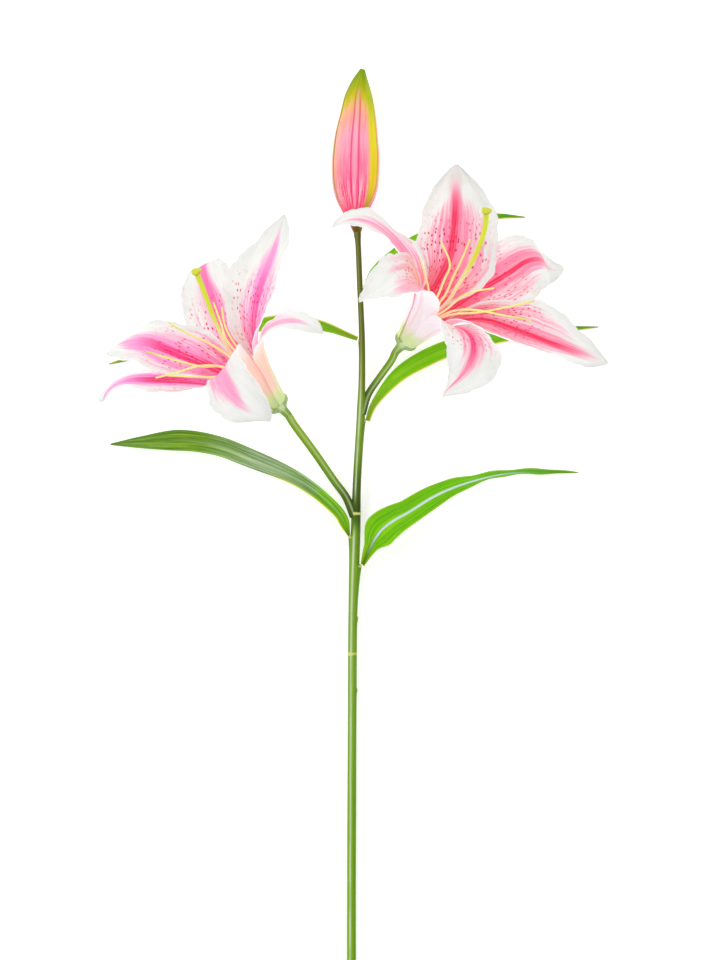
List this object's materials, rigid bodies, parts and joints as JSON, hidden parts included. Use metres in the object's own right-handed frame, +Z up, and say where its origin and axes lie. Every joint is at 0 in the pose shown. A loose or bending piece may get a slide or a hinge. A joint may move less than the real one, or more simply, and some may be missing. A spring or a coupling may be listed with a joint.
{
  "type": "cut lily",
  "caption": "Cut lily stem lying on its back, with wide-open pink and white trumpet blooms, a closed pointed bud and long narrow leaves; natural, with no moving parts.",
  "frame": {"origin": "middle of the plant's outline on the surface that it lies on", "axes": "+Y along the stem from its cut end towards the bud, +Z up from the surface, +X towards the right-hand bloom"},
  "size_m": [0.3574, 0.65, 0.1111],
  "materials": {
    "stem": "smooth green stem, satin",
    "bud": "pink bud with green edges, satin",
    "leaf": "fresh green leaf with parallel veins, satin",
    "petal": "soft matt petal, white margin and pink middle",
    "sepal": "soft matt sepal, white margin and pink middle",
    "filament": "pale yellow-green, satin",
    "pistil": "yellow-green, moist sheen"
  },
  "bodies": {
    "root": {"stem": "stem", "bud": "bud", "leaf_lower_left": "leaf", "leaf_lower_right": "leaf", "leaf_upper_left": "leaf", "leaf_middle_right": "leaf", "leaf_upper_right": "leaf", "left_petal_left": "petal", "left_petal_up": "petal", "left_petal_near": "petal", "left_sepal_up": "sepal", "left_sepal_low": "sepal", "left_sepal_right": "sepal", "left_stamens": "filament", "left_pistil": "pistil", "right_petal_top": "petal", "right_petal_low": "petal", "right_petal_near": "petal", "right_sepal_right": "sepal", "right_sepal_near": "sepal", "right_sepal_left": "sepal", "right_stamens": "filament", "right_pistil": "pistil"}
  },
  "joints": []
}
